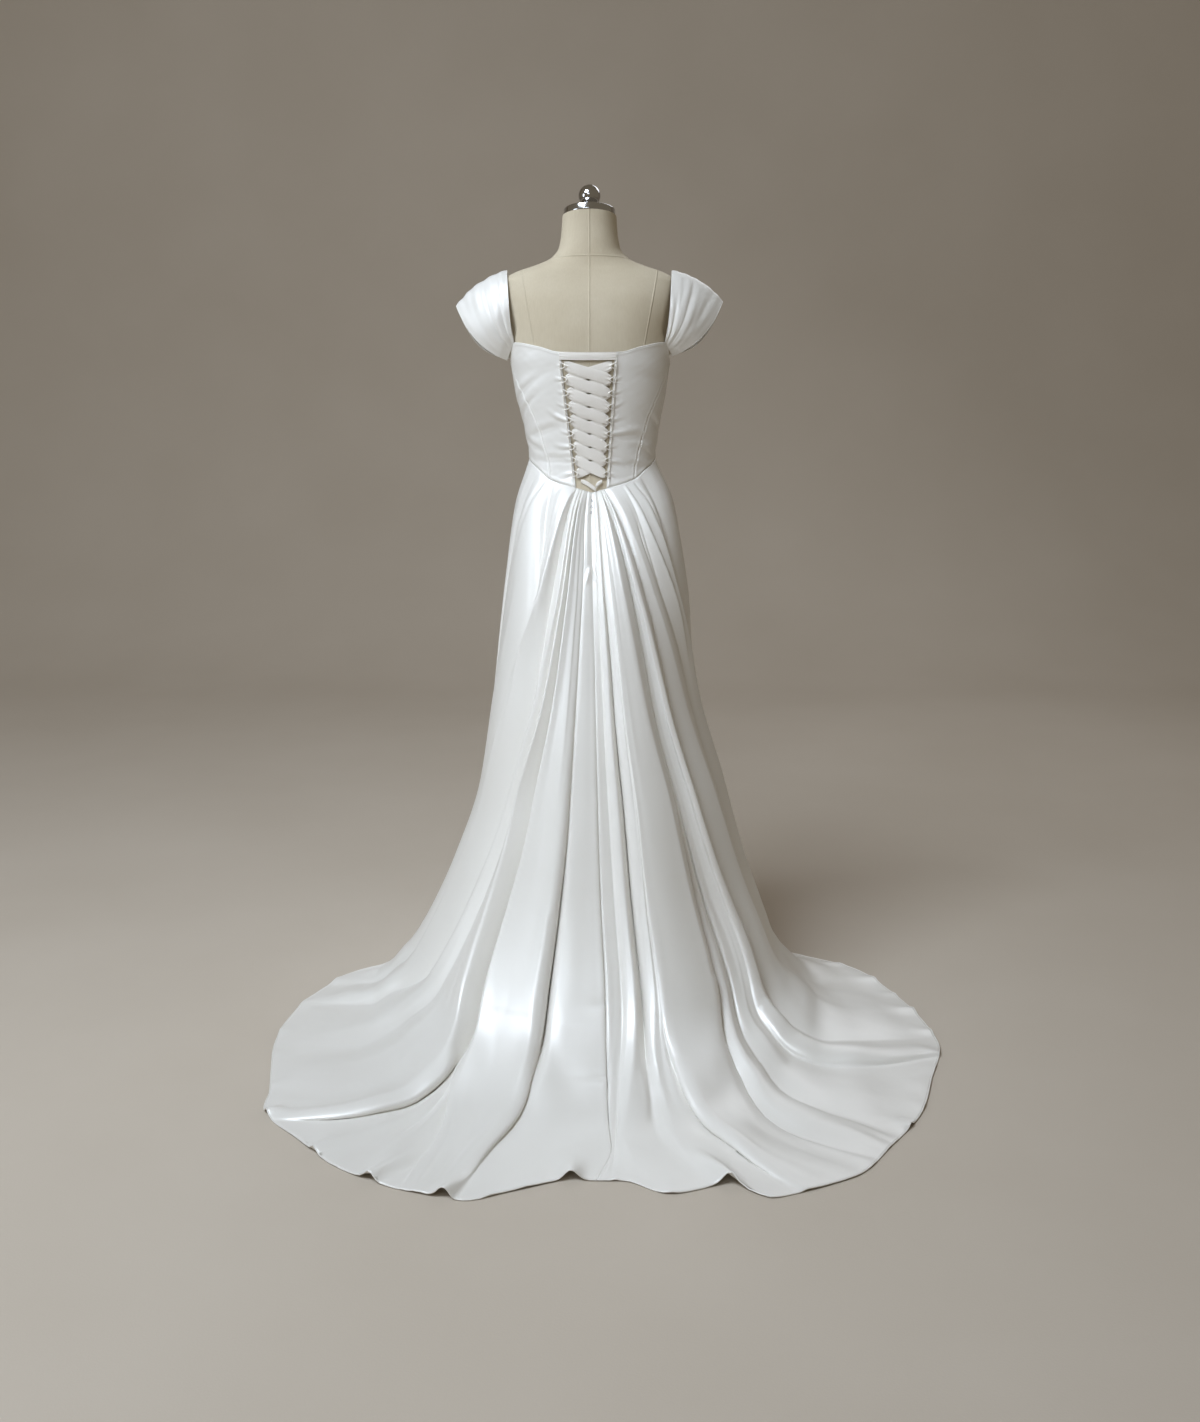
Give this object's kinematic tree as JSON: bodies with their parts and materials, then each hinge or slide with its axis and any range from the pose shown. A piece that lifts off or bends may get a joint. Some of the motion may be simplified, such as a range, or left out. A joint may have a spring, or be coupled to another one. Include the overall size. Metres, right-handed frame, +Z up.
{
  "type": "wedding dress on a limbless dress form with a stand",
  "caption": "Satin wedding dress with off-shoulder cap sleeves, a lace-up corset back, a pleated skirt and a long rounded train, worn by a limbless dress form on a stand",
  "frame": {"origin": "centre of the underside of the stand's base, on the post's axis, on the floor", "axes": "+Z up; -Y is the wearer's back, where the train lies; +Y is the front; +X is the right-hand side seen from the back"},
  "size_m": [1.2834, 1.2746, 1.6093],
  "materials": {
    "satin": "white bridal satin, soft sheen",
    "linen": "cream linen cover, matte",
    "chrome": "polished",
    "base_steel": "satin grey",
    "hook_steel": "dark nickel"
  },
  "bodies": {
    "root": {"form_torso": "linen", "neck_cap": "chrome", "finial": "chrome", "stand_post": "chrome", "stand_base": "base_steel", "bodice_back_left": "satin", "bodice_back_right": "satin", "bodice_side_back_left": "satin", "bodice_side_back_right": "satin", "bodice_side_front_left": "satin", "bodice_side_front_right": "satin", "bodice_front": "satin", "sleeve_left": "satin", "sleeve_right": "satin", "lace_ribbon_a": "satin", "lace_ribbon_b": "satin", "lace_top_bar": "satin", "lace_tail_left": "satin", "lace_tail_right": "satin", "lace_loops_left": "satin", "lace_loops_right": "satin", "hook_1": "hook_steel", "hook_2": "hook_steel", "hook_3": "hook_steel", "skirt_back_left": "satin", "skirt_back_right": "satin", "skirt_front": "satin"}
  },
  "joints": []
}
